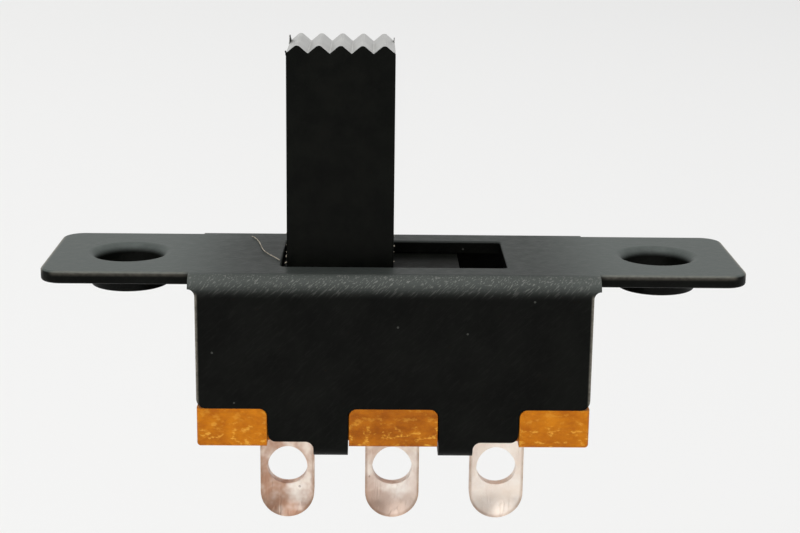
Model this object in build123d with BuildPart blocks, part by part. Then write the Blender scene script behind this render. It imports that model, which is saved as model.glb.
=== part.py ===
from build123d import *
import os

# A small slide switch for a panel: one pole, two positions, three solder terminals.
# Millimetres. The origin is midway between the two ear holes, on the top face of the
# plate. +X runs along the slider's travel, +Z up along the handle, -Y is the front.

# Frame: one folded sheet, a plate with two ears and a skirt down the front and back.
sheet = 0.35
plate_length = 19.4
plate_depth = 4.6
plate_corner = 0.6
edge_round = 0.07
body_length = 10.8
bend_inner = 0.15
skirt_drop = 3.72
skirt_corner = 0.28
flare = 0.2
flare_land = 0.01
slot_corner = 0.15

# Ear holes: drawn downwards, with a rounded mouth and a short collar below.
ear_hole_pitch = 15.0
ear_hole_radius = 0.93
mouth_round = 0.27
collar_drop = 0.54
collar_wall = 0.17
collar_lip = 0.06

# Tabs that hold the terminal board: a short outer part and a folded inner part.
tab_inner_x = 1.25
tab_width = 2.2
tab_drop = 0.95
tab_corner = 0.22
hook_width = 0.95
hook_inner = 0.05
hook_reach = 1.0

# Terminal board: a stamped plate of laminate under the skirts.
board_thickness = 1.1
board_edge_round = 0.1
notch_depth = 0.56
notch_clearance = 0.03

# Terminals: a flat contact head on the board, a stem through it and a dished lug below.
terminal_pitch = 3.0
terminal_sheet = 0.3
head_width = 1.9
head_depth = 2.1
head_corner = 0.2
head_bend = 0.25
stem_clearance = 0.05
lug_width = 1.54
lug_length = 2.73
lug_hole_radius = 0.57
lug_hole_rise = 1.48
dish_radius = 1.2
dish_start = 0.5

# Slider: a handle with a ribbed top, on a base that runs under the plate. The handle's
# height is to the ribs' sharp crests, before they are rounded.
handle_width = 2.95
handle_depth = 2.9
handle_height = 6.11
handle_edge = 0.05
tooth_count = 5
tooth_height = 0.25
crest_round = 0.12
root_round = 0.03
slot_end_gap = 0.15
slot_side_gap = 0.1
base_overhang = 1.9
base_gap = 0.39
base_chamfer = 0.16
top_clearance = 0.03
skirt_clearance = 0.1

# Bridge contact and its spring, both in a pocket in the base.
contact_sheet = 0.2
contact_depth = 1.9
contact_end = 0.65
contact_flange = 0.75
contact_inner = 0.1
bump_radius = 0.55
bump_drop = 0.33
contact_gap = 0.02
pocket_clearance = 0.05
pocket_headroom = 0.1
spring_wire = 0.2
spring_radius = 0.85
spring_turns = 4.5
spring_seat = 0.01
bore_depth = 1.0
bore_clearance = 0.12

# What follows from those sizes.
near = 1e-4
travel = terminal_pitch
bend_radius = sheet + bend_inner
hook_radius = sheet + hook_inner
body_depth = plate_depth + 2 * bend_radius
front_y = -body_depth / 2
tab_outer_x = tab_inner_x + tab_width
hook_outer_x = tab_inner_x + hook_width
tab_bottom = -skirt_drop - tab_drop
board_top = -skirt_drop
board_bottom = board_top - board_thickness
hook_bottom = board_bottom - sheet
head_top = board_top + terminal_sheet
stem_y = -(head_depth - terminal_sheet) / 2
handle_x = -travel / 2
slot_length = handle_width + travel + 2 * slot_end_gap
slot_depth = handle_depth + 2 * slot_side_gap
base_top = -sheet - top_clearance
base_bottom = head_top + base_gap
base_length = handle_width + 2 * base_overhang
base_depth = body_depth - 2 * (sheet + skirt_clearance)
contact_bend = contact_sheet + contact_inner
contact_bottom = head_top + contact_gap + bump_drop
contact_top = contact_bottom + contact_sheet
contact_length = terminal_pitch + 2 * contact_end
pocket_top = contact_top + contact_flange + pocket_headroom
bore_top = pocket_top + bore_depth

os.makedirs("parts", exist_ok=True)


def corners(sketch, x, y):
    """The sketch's vertices at the given height and this far to either side."""
    return [v for v in sketch.vertices() if abs(abs(v.X) - x) < near and abs(v.Y - y) < near]


# Frame. The bent section is run along X and trimmed to the outline that the blank has
# in front view. The lips at its foot are left only where the tabs are folded.
with BuildPart() as channel:
    with BuildSketch(Plane.YZ) as section:
        with Locations((0, hook_bottom / 2)):
            Rectangle(body_depth, -hook_bottom)
        fillet(corners(section, body_depth / 2, 0), bend_radius)
        fillet(corners(section, body_depth / 2, hook_bottom), hook_radius)
        inside_depth = body_depth - 2 * sheet
        with Locations((0, (board_bottom - sheet) / 2)):
            Rectangle(inside_depth, -board_bottom - sheet, mode=Mode.SUBTRACT)
        fillet(corners(section, inside_depth / 2, -sheet), bend_inner)
        fillet(corners(section, inside_depth / 2, board_bottom), hook_inner)
        with Locations((0, hook_bottom)):
            Rectangle(body_depth - 2 * hook_reach, 3 * sheet, mode=Mode.SUBTRACT)
    extrude(amount=body_length / 2 + flare, both=True)
    with BuildSketch(Plane.XZ) as outline:
        with Locations((0, -skirt_drop / 2)):
            Rectangle(body_length, skirt_drop)
        with Locations((0, -sheet / 2)):
            Rectangle(body_length + 2 * flare, sheet)
        for side in (-1, 1):
            with Locations((side * (tab_inner_x + tab_width / 2), tab_bottom / 2)):
                Rectangle(tab_width, -tab_bottom)
            with Locations((side * (tab_inner_x + hook_width / 2), hook_bottom / 2)):
                Rectangle(hook_width, -hook_bottom)
        fillet(corners(outline, body_length / 2, -sheet), flare - flare_land)
        fillet(corners(outline, body_length / 2, -skirt_drop), skirt_corner)
        for x, z in (
            (tab_outer_x, -skirt_drop),
            (tab_inner_x, -skirt_drop),
            (tab_outer_x, tab_bottom),
            (hook_outer_x, tab_bottom),
        ):
            fillet(corners(outline, x, z), tab_corner)
    extrude(amount=body_depth, both=True, mode=Mode.INTERSECT)

with BuildPart() as frame:
    with BuildSketch():
        RectangleRounded(plate_length, plate_depth, plate_corner)
    extrude(amount=-sheet)
    fillet(frame.edges().group_by(Axis.Z)[-1], edge_round)
    fillet(frame.edges().group_by(Axis.Z)[0], edge_round)
    add(channel.part)
    with BuildSketch():
        RectangleRounded(slot_length, slot_depth, slot_corner)
    extrude(amount=-sheet, mode=Mode.SUBTRACT)
    rim = frame.edges().filter_by_position(Axis.Z, -near, near)
    rim = rim.filter_by_position(Axis.X, -slot_length / 2 - near, slot_length / 2 + near)
    rim = rim.filter_by_position(Axis.Y, -slot_depth / 2 - near, slot_depth / 2 + near)
    fillet(rim, edge_round)
    with GridLocations(ear_hole_pitch, 0, 2, 1):
        Cylinder(ear_hole_radius + mouth_round, 3 * sheet, mode=Mode.SUBTRACT)
    for side in (-1, 1):
        with BuildSketch(Plane.XZ) as collar:
            with BuildLine(Plane.XZ):
                axis_x = side * ear_hole_pitch / 2
                collar_bottom = -sheet - collar_drop
                mouth = axis_x + ear_hole_radius + mouth_round
                wall = axis_x + ear_hole_radius
                RadiusArc((mouth, 0), (wall, -mouth_round), -mouth_round)
                Polyline(
                    (wall, -mouth_round),
                    (wall, collar_bottom),
                    (wall + collar_wall, collar_bottom),
                    (mouth, -sheet),
                    (mouth, 0),
                )
            make_face()
            fillet(collar.vertices().group_by(Axis.Y)[0].sort_by(Axis.X)[-1], collar_lip)
        revolve(axis=Axis((axis_x, 0, 0), (0, 0, 1)))
frame.part.label = "frame"
export_step(frame.part, "parts/frame.step")

# Terminal board: notched for the tabs and slotted for the terminals' stems.
with BuildPart() as terminal_board:
    with BuildSketch(Plane.XY.offset(board_bottom)) as board_outline:
        Rectangle(body_length, body_depth)
        fillet(board_outline.vertices(), board_edge_round)
    extrude(amount=board_thickness)
    under = terminal_board.faces().sort_by(Axis.Z)[0]
    fillet(under.outer_wire().edges(), board_edge_round)
    # Each notch follows its tab, with the round corners at the tab's root.
    for notch_plane in (Plane.XZ.offset(body_depth / 2 - notch_depth), Plane.XZ.offset(front_y)):
        with BuildSketch(notch_plane) as notches:
            with Locations((0, board_top + sheet / 2)):
                Rectangle(body_length, sheet)
            for side in (-1, 1):
                with Locations((side * (tab_inner_x + tab_width / 2), board_top - board_thickness)):
                    Rectangle(tab_width + 2 * notch_clearance, 2 * board_thickness)
            fillet(corners(notches, tab_inner_x - notch_clearance, board_top), tab_corner)
            fillet(corners(notches, tab_outer_x + notch_clearance, board_top), tab_corner)
        extrude(amount=notch_depth, mode=Mode.SUBTRACT)
    with BuildSketch(Plane.XY.offset(board_bottom)):
        with Locations((0, stem_y)):
            with GridLocations(terminal_pitch, 0, 3, 1):
                Rectangle(lug_width + 2 * stem_clearance, terminal_sheet + 2 * stem_clearance)
    extrude(amount=board_thickness, mode=Mode.SUBTRACT)
terminal_board.part.label = "terminal_board"
export_step(terminal_board.part, "parts/terminal_board.step")


def terminal(x):
    """One terminal: its lug is pressed to the inside of a round-ended tube's wall."""
    lug_bottom = board_bottom - lug_length
    end_centre = lug_bottom + lug_width / 2
    dish_top = board_bottom - dish_start
    sag = dish_radius - (dish_radius**2 - (lug_width / 2) ** 2) ** 0.5
    dish_y = stem_y - terminal_sheet / 2 + sag / 2 - dish_radius
    outer_radius = dish_radius + terminal_sheet

    with BuildPart() as lug:
        with BuildSketch(Plane.YZ.offset(x)):
            with Locations((dish_y, end_centre)):
                Circle(outer_radius)
                Circle(dish_radius, mode=Mode.SUBTRACT)
            with Locations((dish_y, end_centre + outer_radius)):
                Rectangle(2 * outer_radius, 2 * outer_radius, mode=Mode.SUBTRACT)
            with Locations((dish_y - outer_radius, end_centre)):
                Rectangle(2 * outer_radius, 4 * outer_radius, mode=Mode.SUBTRACT)
            with Locations((dish_y + (dish_radius + outer_radius) / 2, (dish_top + end_centre) / 2)):
                Rectangle(terminal_sheet, dish_top - end_centre)
        revolve(axis=Axis((x, dish_y, 0), (0, 0, 1)))
        with BuildSketch(Plane.XZ.offset(-dish_y)):
            with Locations((x, end_centre)):
                Circle(lug_width / 2)
            with Locations((x, (dish_top + end_centre) / 2)):
                Rectangle(lug_width, dish_top - end_centre)
        extrude(amount=-2 * outer_radius, mode=Mode.INTERSECT)

    with BuildPart() as neck:
        with BuildSketch(Plane.XY.offset(board_bottom)):
            with Locations((x, stem_y)):
                Rectangle(lug_width, terminal_sheet)
        with BuildSketch(Plane.XY.offset(dish_top)):
            with Locations((x, dish_y)):
                Circle(outer_radius)
                Circle(dish_radius, mode=Mode.SUBTRACT)
            with Locations((x, dish_y + outer_radius)):
                Rectangle(lug_width, 2 * outer_radius, mode=Mode.INTERSECT)
        loft(ruled=True)

    with BuildPart() as whole:
        with BuildSketch(Plane.XY.offset(board_top)) as head:
            with Locations((x, 0)):
                Rectangle(head_width, head_depth)
            fillet(head.vertices(), head_corner)
        extrude(amount=terminal_sheet)
        top_edges = whole.edges().group_by(Axis.Z)[-1]
        fillet(top_edges.sort_by(Axis.Y)[0], head_bend)
        with BuildSketch(Plane.XY.offset(board_bottom)):
            with Locations((x, stem_y)):
                Rectangle(lug_width, terminal_sheet)
        extrude(amount=board_thickness + terminal_sheet / 2)
        add(neck.part)
        add(lug.part)
        with Locations(Location((x, stem_y, lug_bottom + lug_hole_rise), (90, 0, 0))):
            Cylinder(lug_hole_radius, 4 * terminal_sheet, mode=Mode.SUBTRACT)
    return whole.part


for name, place in (("terminal_left", -1), ("terminal_common", 0), ("terminal_right", 1)):
    piece = terminal(place * terminal_pitch)
    piece.label = name
    export_step(piece, f"parts/{name}.step")

# Slider: the handle stands through the slot, the base fills the channel under it.
with BuildPart() as slider:
    with BuildSketch(Plane.XY.offset(base_bottom)):
        with Locations((handle_x, 0)):
            Rectangle(base_length, base_depth)
    extrude(amount=base_top - base_bottom)
    top_edges = slider.edges().group_by(Axis.Z)[-1]
    chamfer(top_edges.filter_by(Axis.X), base_chamfer)
    with BuildSketch(Plane.XZ) as side_view:
        left = handle_x - handle_width / 2
        right = handle_x + handle_width / 2
        valley = handle_height - tooth_height
        with BuildLine():
            zigzag = [(left, base_top), (left, valley)]
            for i in range(tooth_count):
                zigzag.append((left + (i + 0.5) * handle_width / tooth_count, handle_height))
                zigzag.append((left + (i + 1) * handle_width / tooth_count, valley))
            Polyline(*zigzag, (right, base_top), close=True)
        make_face()
        fillet(side_view.vertices().group_by(Axis.Y)[-1], crest_round)
        roots = side_view.vertices().filter_by_position(Axis.X, left + near, right - near)
        fillet(roots.filter_by_position(Axis.Y, valley - near, valley + near), root_round)
    extrude(amount=handle_depth / 2, both=True)
    uprights = slider.edges().filter_by(Axis.Z).filter_by(lambda e: e.length > valley)
    fillet(uprights, handle_edge)
    with BuildSketch(Plane.XY.offset(base_bottom)):
        with Locations((handle_x, 0)):
            Rectangle(contact_length + 2 * pocket_clearance, contact_depth + 2 * pocket_clearance)
    extrude(amount=pocket_top - base_bottom, mode=Mode.SUBTRACT)
    with BuildSketch(Plane.XY.offset(pocket_top)):
        with Locations((handle_x, 0)):
            Circle(spring_radius + spring_wire / 2 + bore_clearance)
    extrude(amount=bore_depth, mode=Mode.SUBTRACT)
slider.part.label = "slider"
export_step(slider.part, "parts/slider.step")

# Bridge contact: a strip turned up at both ends, with a domed bump under each.
with BuildPart() as bumps:
    with Locations((handle_x, 0, contact_bottom - bump_drop + bump_radius)):
        with GridLocations(terminal_pitch, 0, 2, 1):
            Sphere(bump_radius)
    with BuildSketch(Plane.XY.offset(contact_top)):
        with Locations((handle_x, 0)):
            Rectangle(contact_length, contact_depth)
    extrude(amount=-2 * bump_radius, mode=Mode.INTERSECT)

with BuildPart() as bridge_contact:
    with BuildSketch(Plane.XZ) as strip:
        top = contact_top + contact_flange
        with Locations((handle_x, (contact_bottom + top) / 2)):
            Rectangle(contact_length, top - contact_bottom)
        fillet(strip.vertices().group_by(Axis.Y)[0], contact_bend)
        with Locations((handle_x, (contact_top + top) / 2)):
            Rectangle(contact_length - 2 * contact_sheet, top - contact_top, mode=Mode.SUBTRACT)
        inner = strip.vertices().filter_by_position(Axis.Y, contact_top - near, contact_top + near)
        fillet(inner, contact_inner)
    extrude(amount=contact_depth / 2, both=True)
    add(bumps.part)
    with Locations((handle_x, 0, contact_bottom - bump_drop + bump_radius)):
        with GridLocations(terminal_pitch, 0, 2, 1):
            Sphere(bump_radius - contact_sheet, mode=Mode.SUBTRACT)
bridge_contact.part.label = "bridge_contact"
export_step(bridge_contact.part, "parts/bridge_contact.step")

# Contact spring: it pushes the bridge contact down onto the terminals' heads.
with BuildPart() as contact_spring:
    foot = contact_top + spring_seat + spring_wire / 2
    height = bore_top - spring_seat - spring_wire / 2 - foot
    with BuildLine() as coil:
        Helix(height / spring_turns, height, spring_radius, center=(handle_x, 0, foot))
    with BuildSketch(coil.line ^ 0):
        Circle(spring_wire / 2)
    sweep(path=coil.line, is_frenet=True)
contact_spring.part.label = "contact_spring"
export_step(contact_spring.part, "parts/contact_spring.step")
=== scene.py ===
import math

import bpy
from mathutils import Matrix, Vector


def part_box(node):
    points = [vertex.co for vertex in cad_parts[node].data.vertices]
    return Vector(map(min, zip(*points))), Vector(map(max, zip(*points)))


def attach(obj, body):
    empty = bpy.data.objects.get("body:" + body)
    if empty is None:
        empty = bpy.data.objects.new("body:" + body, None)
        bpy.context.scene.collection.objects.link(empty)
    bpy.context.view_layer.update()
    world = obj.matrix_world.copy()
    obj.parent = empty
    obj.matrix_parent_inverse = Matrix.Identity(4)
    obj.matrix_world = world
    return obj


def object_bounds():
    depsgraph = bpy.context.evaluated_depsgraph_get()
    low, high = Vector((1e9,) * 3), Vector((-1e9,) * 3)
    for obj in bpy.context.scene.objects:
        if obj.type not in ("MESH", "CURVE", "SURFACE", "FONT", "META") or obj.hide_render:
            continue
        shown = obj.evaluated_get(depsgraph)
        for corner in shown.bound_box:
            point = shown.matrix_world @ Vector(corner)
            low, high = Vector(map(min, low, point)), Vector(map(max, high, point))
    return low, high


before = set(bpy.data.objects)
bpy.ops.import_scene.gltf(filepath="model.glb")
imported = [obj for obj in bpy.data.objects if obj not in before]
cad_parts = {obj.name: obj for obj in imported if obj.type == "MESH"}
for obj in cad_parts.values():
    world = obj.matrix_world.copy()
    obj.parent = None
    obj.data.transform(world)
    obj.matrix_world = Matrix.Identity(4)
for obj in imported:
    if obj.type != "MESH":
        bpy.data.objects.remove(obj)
cad_low, cad_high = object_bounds()


# --- Camera -------------------------------------------------------------------------
# A close-up lens a few centimetres in front of the switch and a little above it, so
# that the plate's top, the front skirt and the solder lugs are all seen.
MM = 0.001


def aim_camera():
    elevation, turn, roll = math.radians(14.41), math.radians(1.0), math.radians(0.69)
    aim = Vector((0.18, 0.0, -0.38)) * MM
    distance = 48.4 * MM
    forward = Vector((
        math.sin(turn) * math.cos(elevation),
        math.cos(turn) * math.cos(elevation),
        -math.sin(elevation),
    ))
    level_right = Vector((math.cos(turn), -math.sin(turn), 0))
    level_up = level_right.cross(forward)
    right = math.cos(roll) * level_right + math.sin(roll) * level_up
    up = math.cos(roll) * level_up - math.sin(roll) * level_right
    pose = Matrix((right, up, -forward)).transposed().to_4x4()
    pose.translation = aim - forward * distance
    bpy.ops.object.camera_add()
    camera = bpy.context.object
    camera.matrix_world = pose
    camera.data.sensor_width = 36
    camera.data.lens = 76.3
    camera.data.clip_start = 0.001
    camera.data.clip_end = 10
    bpy.context.scene.camera = camera


aim_camera()


# --- Painted steel frame ------------------------------------------------------------
# One stamped and folded steel sheet: a plate with two ears, a skirt down the front and
# back, and tabs folded under the board. It is dipped in thin satin black paint, worn to
# the metal at the ears' tips and at the cut ends of the skirts. Painted sheen lightens its
# upward faces, and painted highlights lighten its long bends and the ears' long upper rims.
def add_node(tree, kind, **settings):
    """Adds a shader node; a setting is an input's value, a link from a socket, or a property."""
    made = tree.nodes.new(kind)
    for name, value in settings.items():
        plain = name.replace("_", " ")
        sockets = {s.name.lower(): s for s in reversed(made.inputs)}
        if name.startswith("in") and name[2:].isdigit():
            target = made.inputs[int(name[2:])]
        elif hasattr(made, name) and plain not in sockets:
            setattr(made, name, value)
            continue
        else:
            target = sockets[plain]
        if isinstance(value, bpy.types.NodeSocket):
            tree.links.new(value, target)
        else:
            target.default_value = value
    return made


def new_group(name, inputs, outputs):
    """A node group whose inputs are values, or a place where no default is given."""
    tree = bpy.data.node_groups.new(name, "ShaderNodeTree")
    for label, default in inputs:
        kind = "NodeSocketVector" if default is None else "NodeSocketFloat"
        socket = tree.interface.new_socket(label, in_out="INPUT", socket_type=kind)
        if default is not None:
            socket.default_value = default
    for label in outputs:
        tree.interface.new_socket(label, in_out="OUTPUT", socket_type="NodeSocketFloat")
    return tree, tree.nodes.new("NodeGroupInput"), tree.nodes.new("NodeGroupOutput")


def smooth_step(tree, value, low, high):
    """0 up to low and 1 from high, and the other way round where low is the larger."""
    step = add_node(tree, "ShaderNodeMapRange", interpolation_type="SMOOTHSTEP", value=value)
    step.inputs["From Min"].default_value = low
    step.inputs["From Max"].default_value = high
    return step.outputs["Result"]


def math_node(tree, operation, first, second=0.0):
    return add_node(tree, "ShaderNodeMath", operation=operation, in0=first, in1=second).outputs[0]


def product(tree, first, second):
    return math_node(tree, "MULTIPLY", first, second)


def grain_group():
    """Grain: fine bumps and a slow mottling, both from 0 to 1, on coordinates in mm."""
    tree, given, result = new_group(
        "moulded_grain",
        [("Place", None), ("Fine per mm", 9.0), ("Slow per mm", 1.2)],
        ["Fine", "Slow"],
    )
    fine = add_node(
        tree, "ShaderNodeTexNoise", vector=given.outputs["Place"],
        scale=given.outputs["Fine per mm"], detail=3.0, roughness=0.6,
    )
    slow = add_node(
        tree, "ShaderNodeTexNoise", vector=given.outputs["Place"],
        scale=given.outputs["Slow per mm"], detail=5.0, roughness=0.65,
    )
    tree.links.new(fine.outputs["Fac"], result.inputs["Fine"])
    tree.links.new(smooth_step(tree, slow.outputs["Fac"], 0.3, 0.7), result.inputs["Slow"])
    return tree


def speck_group():
    """Dust: scattered round specks, 1 on a speck and 0 elsewhere, on coordinates in mm."""
    tree, given, result = new_group(
        "dust_specks",
        [("Place", None), ("Cells per mm", 2.5), ("Size", 0.08), ("Share", 0.25)],
        ["Mask"],
    )
    cells = add_node(
        tree, "ShaderNodeTexVoronoi", vector=given.outputs["Place"],
        scale=given.outputs["Cells per mm"],
    )
    chosen = add_node(tree, "ShaderNodeSeparateColor", color=cells.outputs["Color"])
    near = math_node(tree, "LESS_THAN", cells.outputs["Distance"], given.outputs["Size"])
    kept = math_node(tree, "LESS_THAN", chosen.outputs["Red"], given.outputs["Share"])
    tree.links.new(product(tree, near, kept), result.inputs["Mask"])
    return tree


def streak_group():
    """Streaks: thin lines along the turned X axis, 1 on a line, on coordinates in mm."""
    tree, given, result = new_group(
        "fine_streaks",
        [("Place", None), ("Turn", 0.6), ("Across per mm", 14.0), ("Cut", 0.62)],
        ["Mask"],
    )
    turned = add_node(
        tree, "ShaderNodeVectorRotate", rotation_type="Y_AXIS",
        vector=given.outputs["Place"], angle=given.outputs["Turn"],
    )
    drawn = add_node(tree, "ShaderNodeMapping", vector=turned.outputs[0], scale=(0.09, 0.5, 1.0))
    lines = add_node(
        tree, "ShaderNodeTexNoise", vector=drawn.outputs[0],
        scale=given.outputs["Across per mm"], detail=2.0,
    )
    above = math_node(tree, "SUBTRACT", lines.outputs["Fac"], given.outputs["Cut"])
    tree.links.new(smooth_step(tree, above, 0.0, 0.08), result.inputs["Mask"])
    return tree


GRAIN = grain_group()
SPECKS = speck_group()
STREAKS = streak_group()


def place_group(tree, group, place, **values):
    """Puts a shared group in a material, on the given coordinates."""
    made = tree.nodes.new("ShaderNodeGroup")
    made.node_tree = group
    tree.links.new(place, made.inputs["Place"])
    for name, value in values.items():
        made.inputs[name.replace("_", " ")].default_value = value
    return made.outputs


def new_material(name):
    """A material with its own shader and object coordinates in millimetres."""
    material = bpy.data.materials.new(name)
    material.use_nodes = True
    tree = material.node_tree
    shader = tree.nodes["Principled BSDF"]
    coordinates = tree.nodes.new("ShaderNodeTexCoord")
    scaled = add_node(
        tree, "ShaderNodeMapping", vector=coordinates.outputs["Object"], scale=(1000, 1000, 1000)
    )
    return material, tree, shader, scaled.outputs[0]


def mix_colour(tree, amount, first, second):
    """The first colour where the amount is 0, and the second where it is 1."""
    mixed = tree.nodes.new("ShaderNodeMix")
    mixed.data_type = "RGBA"
    for number, value in ((0, amount), (6, first), (7, second)):
        socket = mixed.inputs[number]
        if isinstance(value, bpy.types.NodeSocket):
            tree.links.new(value, socket)
        elif isinstance(value, tuple):
            socket.default_value = (*value, 1.0)
        else:
            socket.default_value = value
    return mixed.outputs[2]


def mix_value(tree, amount, first, second):
    """The same for two plain values."""
    return add_node(tree, "ShaderNodeMapRange", value=amount, to_min=first, to_max=second).outputs[0]


def add_bump(tree, shader, height, depth_mm):
    bump = add_node(tree, "ShaderNodeBump", height=height, distance=depth_mm * MM)
    tree.links.new(bump.outputs[0], shader.inputs["Normal"])


def give_material(name, material):
    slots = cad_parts[name].data.materials
    slots.clear()
    slots.append(material)


def facing_up(tree, low, high):
    """1 where the surface faces up, 0 where it faces sideways or down."""
    normal = tree.nodes.new("ShaderNodeNewGeometry").outputs["True Normal"]
    upward = add_node(tree, "ShaderNodeSeparateXYZ", vector=normal).outputs["Z"]
    return smooth_step(tree, upward, low, high)


def satin_black_paint():
    material, tree, shader, place = new_material("satin_black_paint")
    grain = place_group(tree, GRAIN, place, Fine_per_mm=7.0, Slow_per_mm=0.7)
    mottle = place_group(tree, GRAIN, place, Fine_per_mm=2.2, Slow_per_mm=3.0)
    dust = place_group(tree, SPECKS, place, Cells_per_mm=1.6, Size=0.05, Share=0.3)
    streaks = place_group(tree, STREAKS, place, Turn=0.75, Across_per_mm=34.0, Cut=0.56)
    axes = add_node(tree, "ShaderNodeSeparateXYZ", vector=place)
    sideways = math_node(tree, "ABSOLUTE", axes.outputs["X"])
    outwards = math_node(tree, "ABSOLUTE", axes.outputs["Y"])
    height = axes.outputs["Z"]
    ear_tip, plate_edge, skirt_end = cad_high.x / MM, 2.3, 5.4
    paint = mix_colour(tree, grain["Slow"], (0.0016, 0.0018, 0.0014), (0.0036, 0.004, 0.0032))

    # Painted sheen: faces that point up are lightened towards a grey-green, less so beside the handle.
    away_from_slot = smooth_step(tree, sideways, 3.6, 6.6)
    upward_sheen = product(tree, facing_up(tree, 0.05, 0.75), mix_value(tree, away_from_slot, 0.35, 0.95))
    painted_sheen = product(tree, upward_sheen, mix_value(tree, mottle["Slow"], 0.8, 1.0))
    sheened = mix_colour(tree, painted_sheen, paint, (0.076, 0.086, 0.081))

    # Painted highlight: the long bends are lightened, and their fine streaks far more than the faint
    # streaks on the skirts.
    past_plate = smooth_step(tree, outwards, plate_edge, plate_edge + 0.2)
    bend_highlight = product(tree, past_plate, smooth_step(tree, height, -0.6, -0.1))
    broken = product(tree, streaks["Mask"], mix_value(tree, mottle["Fine"], 0.2, 1.0))
    streaks_and_highlights = product(tree, broken, mix_value(tree, bend_highlight, 0.015, 0.65))
    bend_highlighted = mix_colour(tree, product(tree, bend_highlight, 0.7), sheened, (0.056, 0.062, 0.057))
    streaked_and_highlit = mix_colour(tree, streaks_and_highlights, bend_highlighted, (0.2, 0.2, 0.185))
    dusty = mix_colour(tree, product(tree, dust["Mask"], 0.35), streaked_and_highlit, (0.12, 0.12, 0.11))

    # Bare metal shows at the ears' tips and at the cut ends of the skirts. Along the ears' long upper
    # rims the same colour, fainter, is a painted highlight.
    tip = smooth_step(tree, sideways, ear_tip - 0.12, ear_tip - 0.02)
    beside_ear = smooth_step(tree, sideways, skirt_end + 0.1, skirt_end + 0.4)
    rim_highlight = product(tree, smooth_step(tree, outwards, plate_edge - 0.1, plate_edge - 0.02), beside_ear)
    tips_and_rim_highlight = math_node(tree, "MAXIMUM", tip, product(tree, rim_highlight, 0.35))
    rim_wear_and_highlight = product(tree, tips_and_rim_highlight, smooth_step(tree, height, -0.16, -0.04))
    at_end = smooth_step(tree, sideways, skirt_end - 0.09, skirt_end - 0.01)
    short_of_collar = smooth_step(tree, sideways, skirt_end + 0.5, skirt_end + 0.3)
    below_plate = smooth_step(tree, height, -0.4, -0.55)
    cut_end = product(tree, below_plate, product(tree, at_end, short_of_collar))
    bare_and_highlit = math_node(tree, "MAXIMUM", rim_wear_and_highlight, cut_end)
    worn_and_highlit = product(tree, bare_and_highlit, mix_value(tree, grain["Fine"], 0.1, 1.0))
    bared_and_highlit = mix_colour(tree, worn_and_highlit, dusty, (0.27, 0.25, 0.21))
    tree.links.new(bared_and_highlit, shader.inputs["Base Color"])
    tree.links.new(mix_value(tree, mottle["Slow"], 0.36, 0.46), shader.inputs["Roughness"])
    shader.inputs["Specular IOR Level"].default_value = 0.05
    add_bump(tree, shader, math_node(tree, "ADD", grain["Fine"], mottle["Fine"]), 0.006)
    return material


give_material("frame", satin_black_paint())


# --- Moulded slider -----------------------------------------------------------------
# The handle and its base are one black plastic moulding, pushed through the slot from
# below before the board goes in. Its ribbed top is greyed, partly as finger scuffing and
# partly as painted sheen.
def black_moulding():
    material, tree, shader, place = new_material("black_moulding")
    grain = place_group(tree, GRAIN, place, Fine_per_mm=6.0, Slow_per_mm=1.6)
    dust = place_group(tree, SPECKS, place, Cells_per_mm=2.2, Size=0.04, Share=0.2)
    axes = add_node(tree, "ShaderNodeSeparateXYZ", vector=place)
    on_top = smooth_step(tree, axes.outputs["Z"], 5.4, 5.7)
    ribbed = product(tree, on_top, facing_up(tree, 0.3, 0.5))
    # Partly scuffing, partly painted sheen: the ribbed top's upward faces are greyed.
    rubbed_and_sheen = product(tree, ribbed, mix_value(tree, grain["Slow"], 0.6, 1.0))
    plastic = mix_colour(tree, grain["Slow"], (0.0012, 0.0015, 0.001), (0.0032, 0.0036, 0.0026))
    dusty = mix_colour(tree, product(tree, dust["Mask"], 0.3), plastic, (0.06, 0.06, 0.055))
    scuffed_and_sheened = mix_colour(tree, rubbed_and_sheen, dusty, (0.27, 0.27, 0.255))
    tree.links.new(scuffed_and_sheened, shader.inputs["Base Color"])
    tree.links.new(ribbed, shader.inputs["Coat Weight"])
    shader.inputs["Coat Roughness"].default_value = 0.3
    tree.links.new(mix_value(tree, grain["Slow"], 0.42, 0.55), shader.inputs["Roughness"])
    shader.inputs["Specular IOR Level"].default_value = 0.06
    add_bump(tree, shader, grain["Fine"], 0.008)
    return material


moulding = black_moulding()
give_material("slider", moulding)


# --- Moulding flash -----------------------------------------------------------------
# Thin fins of the slider's plastic, squeezed out where the mould's halves met. They stand
# at the ends of the ribbed top, are as one with the moulding and were never trimmed.
def select_vertices(piece, wanted):
    """In edit mode, selects just the vertices whose place passes the test."""
    bpy.ops.object.mode_set(mode="EDIT")
    bpy.ops.mesh.select_mode(type="VERT")
    bpy.ops.mesh.select_all(action="DESELECT")
    bpy.ops.object.mode_set(mode="OBJECT")
    for vertex in piece.data.vertices:
        vertex.select = wanted(vertex.co)
    bpy.ops.object.mode_set(mode="EDIT")


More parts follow.
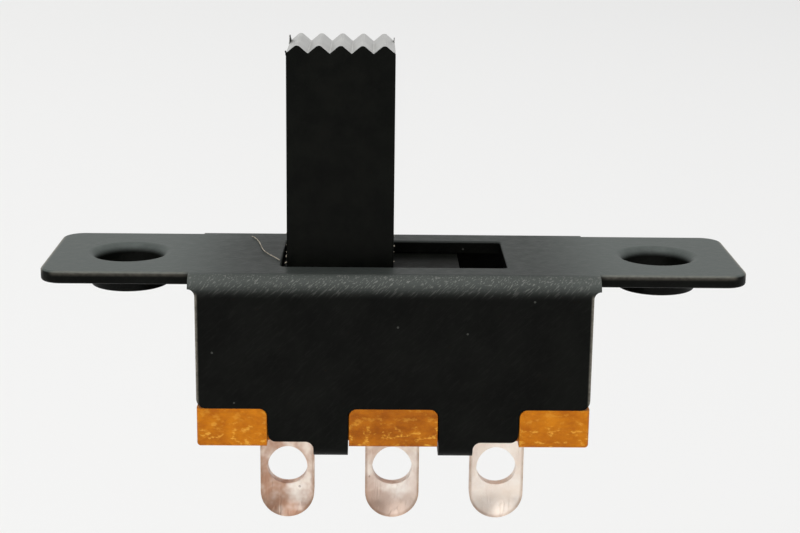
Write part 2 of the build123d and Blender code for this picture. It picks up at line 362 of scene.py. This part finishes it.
def flash_fin(name, foot, width, height, turn, lean):
    """A thin upright fin on its foot, narrower and further over with each row of its grid."""
    rows, narrowing = 5, 0.72
    bpy.ops.object.select_all(action="DESELECT")
    bpy.ops.mesh.primitive_grid_add(
        x_subdivisions=6, y_subdivisions=rows, size=MM,
        location=foot + Vector((0, 0, height / 2)), rotation=(math.pi / 2, 0, turn),
    )
    fin = bpy.context.object
    fin.name = name
    fin.scale = (width / MM, height / MM, 1)
    bpy.ops.object.transform_apply(location=True, rotation=True, scale=True)
    for row in range(1, rows):
        level = foot.z + (row - 0.5) * height / rows
        shift = lean * (row / rows)
        select_vertices(fin, lambda place: place.z > level)
        bpy.ops.transform.translate(value=shift)
        bpy.ops.transform.resize(value=(narrowing, narrowing, 1), center_override=foot + shift)
    bpy.ops.mesh.select_all(action="SELECT")
    bpy.ops.transform.vertex_random(offset=0.006 * MM, seed=4)
    bpy.ops.object.mode_set(mode="OBJECT")
    bpy.ops.object.modifier_add(type="SOLIDIFY")
    fin.modifiers["Solidify"].thickness = 0.022 * MM
    fin.modifiers["Solidify"].offset = 0
    bpy.ops.object.modifier_apply(modifier="Solidify")
    bpy.ops.object.modifier_add(type="SUBSURF")
    fin.modifiers["Subdivision"].levels = 2
    fin.modifiers["Subdivision"].render_levels = 2
    bpy.ops.object.modifier_apply(modifier="Subdivision")
    bpy.ops.object.shade_smooth()
    fin.data.materials.append(moulding)
    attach(fin, "slider")


handle_left, handle_right, handle_front = -2.975, -0.025, -1.45
rib_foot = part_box("slider")[1].z / MM - 0.24
for end, foot, width, height, turn, lean in (
    ("back_left", (handle_left + 0.01, 1.02, rib_foot), 0.84, 0.23, 1.5, (-0.012, 0.06, 0)),
    ("back_right", (handle_right - 0.02, 1.15, rib_foot), 0.5, 0.17, 1.6, (0.004, 0.02, 0)),
    (
        "front_left", (handle_left + 0.03, handle_front + 0.03, rib_foot - 0.03),
        0.14, 0.13, 0.9, (-0.025, -0.004, 0),
    ),
    (
        "front_right", (handle_right - 0.05, handle_front + 0.02, rib_foot - 0.03),
        0.12, 0.11, -0.4, (0.008, -0.004, 0),
    ),
):
    flash_fin(f"flash_{end}", Vector(foot) * MM, width * MM, height * MM, turn, Vector(lean) * MM)


# --- Laminate board -----------------------------------------------------------------
# A resin and paper laminate, punched to size, so its edges show broken layers: pale
# flecks low down in an amber body. Its middle is painted a darker amber as shade.
def amber_laminate():
    material, tree, shader, place = new_material("amber_laminate")
    along = add_node(tree, "ShaderNodeMapping", vector=place, scale=(0.8, 0.8, 1.3)).outputs[0]
    layers = place_group(tree, GRAIN, along, Fine_per_mm=4.5, Slow_per_mm=2.2)
    pits = place_group(tree, GRAIN, place, Fine_per_mm=11.0, Slow_per_mm=0.45)
    axes = add_node(tree, "ShaderNodeSeparateXYZ", vector=place)
    low_down = smooth_step(tree, axes.outputs["Z"], -3.9, -4.5)
    split = smooth_step(tree, layers["Fine"], 0.53, 0.66)
    flecks = product(tree, split, mix_value(tree, low_down, 0.25, 0.75))
    # Painted shade: the middle of the board gets the darker amber, its outer parts the lighter one.
    outside_painted_shade = smooth_step(tree, math_node(tree, "ABSOLUTE", axes.outputs["X"]), 1.6, 3.8)
    shaded_amber = mix_colour(tree, layers["Slow"], (0.28, 0.072, 0.0015), (0.47, 0.145, 0.004))
    clear = mix_colour(tree, layers["Slow"], (0.42, 0.115, 0.001), (0.6, 0.2, 0.004))
    body = mix_colour(tree, outside_painted_shade, shaded_amber, clear)
    shaded = mix_colour(tree, product(tree, pits["Slow"], 0.35), body, (0.22, 0.05, 0.001))
    flecked = mix_colour(tree, flecks, shaded, (0.72, 0.36, 0.045))
    tree.links.new(flecked, shader.inputs["Base Color"])
    tree.links.new(mix_value(tree, pits["Fine"], 0.38, 0.62), shader.inputs["Roughness"])
    shader.inputs["Specular IOR Level"].default_value = 0.12
    rough_cut = math_node(tree, "ADD", layers["Fine"], pits["Fine"])
    add_bump(tree, shader, rough_cut, 0.025)
    return material


give_material("terminal_board", amber_laminate())


# --- Terminals ----------------------------------------------------------------------
# Stamped brass with a thin silver plating, pressed into a shallow dish around the wire
# hole. The plating is slightly tarnished in patches, and thinner over the pinkish brass in
# places. Painted shade makes the patches stronger towards the left terminal.
def plated_brass():
    material, tree, shader, place = new_material("plated_brass")
    grain = place_group(tree, GRAIN, place, Fine_per_mm=8.0, Slow_per_mm=1.3)
    stain = place_group(tree, GRAIN, place, Fine_per_mm=1.2, Slow_per_mm=2.6)
    marks = place_group(tree, SPECKS, place, Cells_per_mm=3.0, Size=0.12, Share=0.1)
    rolled = place_group(tree, STREAKS, place, Turn=1.5, Across_per_mm=9.0, Cut=0.55)
    axes = add_node(tree, "ShaderNodeSeparateXYZ", vector=place)
    # Painted shade: stronger towards the left, weaker towards the right.
    shade_towards_left = smooth_step(tree, axes.outputs["X"], 3.4, -3.2)
    patches = smooth_step(tree, stain["Fine"], 0.3, 0.62)
    tarnish_and_shade = product(tree, patches, mix_value(tree, shade_towards_left, 0.12, 0.95))
    plating = mix_colour(tree, grain["Slow"], (0.9, 0.8, 0.7), (0.97, 0.92, 0.86))
    tarnished_and_shaded = mix_colour(tree, tarnish_and_shade, plating, (0.44, 0.23, 0.14))
    marked = mix_colour(tree, product(tree, marks["Mask"], 0.5), tarnished_and_shaded, (0.25, 0.15, 0.1))

    # A painted dark band of shade, in a brown brass colour, rings each lug's rounded end.
    half_width, pitch = 0.77, 3.0
    end_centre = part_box("terminal_left")[0].z / MM + half_width
    nearest = math_node(tree, "ROUND", math_node(tree, "DIVIDE", axes.outputs["X"], pitch))
    across = math_node(tree, "SUBTRACT", axes.outputs["X"], product(tree, nearest, pitch))
    raised = math_node(tree, "SUBTRACT", axes.outputs["Z"], end_centre)
    below = math_node(tree, "MINIMUM", raised, 0.0)
    squares = math_node(tree, "ADD", product(tree, across, across), product(tree, below, below))
    at_rim = smooth_step(tree, math_node(tree, "SQRT", squares), half_width - 0.1, half_width - 0.01)
    painted_rim_shade = product(tree, at_rim, mix_value(tree, grain["Slow"], 0.35, 0.85))
    rim_shaded = mix_colour(tree, painted_rim_shade, marked, (0.34, 0.2, 0.12))
    tree.links.new(rim_shaded, shader.inputs["Base Color"])
    tree.links.new(mix_value(tree, stain["Slow"], 0.3, 0.46), shader.inputs["Roughness"])
    shader.inputs["Metallic"].default_value = 0.45
    add_bump(tree, shader, math_node(tree, "ADD", grain["Fine"], rolled["Mask"]), 0.006)
    return material


plating = plated_brass()
for side in ("left", "common", "right"):
    give_material(f"terminal_{side}", plating)


# --- Bridge contact and spring ------------------------------------------------------
# Inside the base: a bronze strip with two bumps, and a coil spring of drawn steel wire
# that holds it down. They show only through the open ends.
def contact_bronze():
    material, tree, shader, place = new_material("contact_bronze")
    grain = place_group(tree, GRAIN, place, Fine_per_mm=9.0, Slow_per_mm=2.0)
    rolled = place_group(tree, STREAKS, place, Turn=0.0, Across_per_mm=12.0, Cut=0.5)
    strip = mix_colour(tree, grain["Slow"], (0.62, 0.4, 0.2), (0.75, 0.53, 0.3))
    tree.links.new(strip, shader.inputs["Base Color"])
    tree.links.new(mix_value(tree, grain["Fine"], 0.22, 0.38), shader.inputs["Roughness"])
    shader.inputs["Metallic"].default_value = 1.0
    add_bump(tree, shader, rolled["Mask"], 0.003)
    return material


def drawn_wire():
    material, tree, shader, place = new_material("drawn_wire")
    grain = place_group(tree, GRAIN, place, Fine_per_mm=14.0, Slow_per_mm=3.0)
    wire = mix_colour(tree, grain["Slow"], (0.42, 0.42, 0.43), (0.58, 0.57, 0.55))
    tree.links.new(wire, shader.inputs["Base Color"])
    tree.links.new(mix_value(tree, grain["Fine"], 0.25, 0.4), shader.inputs["Roughness"])
    shader.inputs["Metallic"].default_value = 1.0
    add_bump(tree, shader, grain["Fine"], 0.002)
    return material


give_material("bridge_contact", contact_bronze())
give_material("contact_spring", drawn_wire())


# --- Dust fibre and crumbs ----------------------------------------------------------
# What a used switch collects: one fine pale fibre lying on the plate beside the handle,
# and crumbs of dried lint that cling to the foot of the handle's left and right sides.
def pale_lint():
    material, tree, shader, place = new_material("pale_lint")
    grain = place_group(tree, GRAIN, place, Fine_per_mm=20.0, Slow_per_mm=6.0)
    lint = mix_colour(tree, grain["Slow"], (0.2, 0.17, 0.13), (0.42, 0.38, 0.31))
    tree.links.new(lint, shader.inputs["Base Color"])
    tree.links.new(mix_value(tree, grain["Fine"], 0.6, 0.9), shader.inputs["Roughness"])
    shader.inputs["Specular IOR Level"].default_value = 0.2
    return material


lint = pale_lint()


def dust_fibre():
    bpy.ops.object.select_all(action="DESELECT")
    bpy.ops.curve.primitive_nurbs_path_add()
    fibre = bpy.context.object
    fibre.name = "dust_fibre"
    route = (
        (-4.16, 1.85, 0.03), (-3.98, 1.5, 0.05), (-3.82, 0.75, 0.03),
        (-3.7, -0.1, 0.04), (-3.4, -0.6, 0.05), (-3.2, -0.95, 0.025),
    )
    spline = fibre.data.splines[0]
    spline.points.add(len(route) - len(spline.points))
    for point, place in zip(spline.points, route):
        point.co = (*(Vector(place) * MM), 1)
    spline.order_u = 4
    spline.use_endpoint_u = True
    fibre.data.bevel_depth = 0.013 * MM
    fibre.data.bevel_resolution = 2
    fibre.data.use_fill_caps = True
    bpy.ops.object.convert(target="MESH")
    bpy.ops.object.shade_smooth()
    fibre.data.materials.append(lint)
    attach(fibre, "frame")


dust_fibre()


def lint_crumbs(name, spots):
    """Makes one crumb, copies it to each spot and joins the copies into one piece."""
    bpy.ops.object.select_all(action="DESELECT")
    bpy.ops.mesh.primitive_ico_sphere_add(subdivisions=3, radius=0.5 * MM)
    crumb = bpy.context.object
    crumb.name = name
    bpy.ops.object.mode_set(mode="EDIT")
    bpy.ops.transform.vertex_random(offset=0.11 * MM, seed=2)
    bpy.ops.mesh.vertices_smooth(factor=0.5, repeat=2)
    bpy.ops.object.mode_set(mode="OBJECT")
    bpy.ops.object.shade_smooth()
    copies = []
    for number, (place, size) in enumerate(spots):
        bpy.ops.object.select_all(action="DESELECT")
        crumb.select_set(True)
        bpy.context.view_layer.objects.active = crumb
        bpy.ops.object.duplicate()
        copy = bpy.context.object
        copy.location = Vector(place) * MM
        copy.scale = (size, size * 0.8, size * 1.3)
        copy.rotation_euler = (number, 2 * number, number)
        bpy.ops.object.transform_apply(location=True, rotation=True, scale=True)
        copies.append(copy)
    bpy.data.objects.remove(crumb)
    bpy.ops.object.select_all(action="DESELECT")
    for copy in copies:
        copy.select_set(True)
    bpy.context.view_layer.objects.active = copies[0]
    bpy.ops.object.join()
    crumbs = bpy.context.object
    crumbs.name = name
    crumbs.data.materials.append(lint)
    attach(crumbs, "slider")


lint_crumbs("lint_left", (
    ((-2.99, -1.3, 0.22), 0.05), ((-2.985, -1.1, 0.5), 0.035), ((-3.0, -1.42, 0.07), 0.06),
    ((-2.985, -1.2, 0.85), 0.03), ((-2.995, -0.7, 0.12), 0.05), ((-2.985, -1.36, 0.36), 0.03),
))
lint_crumbs("lint_right", (
    ((-0.01, -1.35, 0.55), 0.04), ((-0.015, -1.2, 0.8), 0.03), ((-0.01, -1.38, 0.12), 0.035),
    ((-0.015, -1.1, 0.32), 0.03),
))


# --- Studio -------------------------------------------------------------------------
# A pale sweep below and behind the switch, a large soft lamp above, a weaker one in
# front, and a world that is bright behind and above but dim in front.
def studio():
    bpy.ops.object.select_all(action="DESELECT")
    bpy.ops.mesh.primitive_plane_add(size=1.2, location=(0, 0, cad_low.z - 0.012))
    sweep = bpy.context.object
    sweep.name = "pale_sweep"
    bpy.ops.object.transform_apply(location=True)
    bpy.ops.object.mode_set(mode="EDIT")
    bpy.ops.mesh.select_mode(type="EDGE")
    bpy.ops.mesh.select_all(action="DESELECT")
    bpy.ops.object.mode_set(mode="OBJECT")
    for edge in sweep.data.edges:
        ends = [sweep.data.vertices[i] for i in edge.vertices]
        edge.select = all(v.co.y > 0.5 for v in ends)
    bpy.ops.object.mode_set(mode="EDIT")
    bpy.ops.mesh.extrude_region_move(TRANSFORM_OT_translate={"value": (0, 0, 0.8)})
    bpy.ops.object.mode_set(mode="OBJECT")
    for edge in sweep.data.edges:
        ends = [sweep.data.vertices[i] for i in edge.vertices]
        edge.select = all(v.co.y > 0.5 and v.co.z < 0.1 for v in ends)
    bpy.ops.object.mode_set(mode="EDIT")
    bpy.ops.mesh.bevel(offset=0.25, segments=16, affect="EDGES")
    bpy.ops.mesh.select_all(action="SELECT")
    bpy.ops.mesh.normals_make_consistent(inside=False)
    bpy.ops.object.mode_set(mode="OBJECT")
    bpy.ops.object.shade_smooth()

    paper = bpy.data.materials.new("pale_paper")
    paper.use_nodes = True
    tree = paper.node_tree
    shader = tree.nodes["Principled BSDF"]
    shader.inputs["Base Color"].default_value = (0.8, 0.8, 0.79, 1)
    shader.inputs["Roughness"].default_value = 0.9
    shader.inputs["Specular IOR Level"].default_value = 0.1
    path = tree.nodes.new("ShaderNodeLightPath")
    coordinates = tree.nodes.new("ShaderNodeTexCoord")
    place = add_node(tree, "ShaderNodeSeparateXYZ", vector=coordinates.outputs["Object"])
    behind = smooth_step(tree, place.outputs["Y"], -0.02, 0.03)
    to_right = smooth_step(tree, place.outputs["X"], -0.3, 0.3)
    glow = tree.nodes.new("ShaderNodeEmission")
    tree.links.new(mix_colour(tree, to_right, (0.94, 0.94, 0.93), (0.8, 0.8, 0.8)), glow.inputs["Color"])
    reflected = product(tree, path.outputs["Is Glossy Ray"], behind)
    seen = math_node(tree, "MAXIMUM", path.outputs["Is Camera Ray"], reflected)
    both = add_node(
        tree, "ShaderNodeMixShader", in0=product(tree, seen, 0.85),
        in1=shader.outputs[0], in2=glow.outputs[0],
    )
    tree.links.new(both.outputs[0], tree.nodes["Material Output"].inputs["Surface"])
    sweep.data.materials.append(paper)

    world = bpy.data.worlds.new("soft_room")
    bpy.context.scene.world = world
    world.use_nodes = True
    tree = world.node_tree
    direction = tree.nodes.new("ShaderNodeTexCoord").outputs["Generated"]
    axes = add_node(tree, "ShaderNodeSeparateXYZ", vector=direction)
    back = add_node(tree, "ShaderNodeMapRange", value=axes.outputs["Y"], from_min=-0.5, from_max=0.4)
    room = mix_colour(tree, back.outputs[0], (0.2, 0.2, 0.2), (0.8, 0.8, 0.8))
    path = tree.nodes.new("ShaderNodeLightPath")
    shown = mix_colour(tree, path.outputs["Is Camera Ray"], room, (0.88, 0.88, 0.88))
    tree.links.new(shown, tree.nodes["Background"].inputs["Color"])

    for name, place, size, power in (
        ("top_softbox", (0.02, -0.06, 0.3), 0.3, 1.0),
        ("front_softbox", (-0.12, -0.3, 0.26), 0.4, 0.9),
    ):
        bpy.ops.object.light_add(type="AREA", location=place)
        lamp = bpy.context.object
        lamp.name = name
        lamp.data.size = size
        lamp.data.energy = power
        lamp.rotation_euler = (-Vector(place)).to_track_quat("-Z", "Y").to_euler()
    bpy.context.scene.view_settings.view_transform = "Standard"


studio()
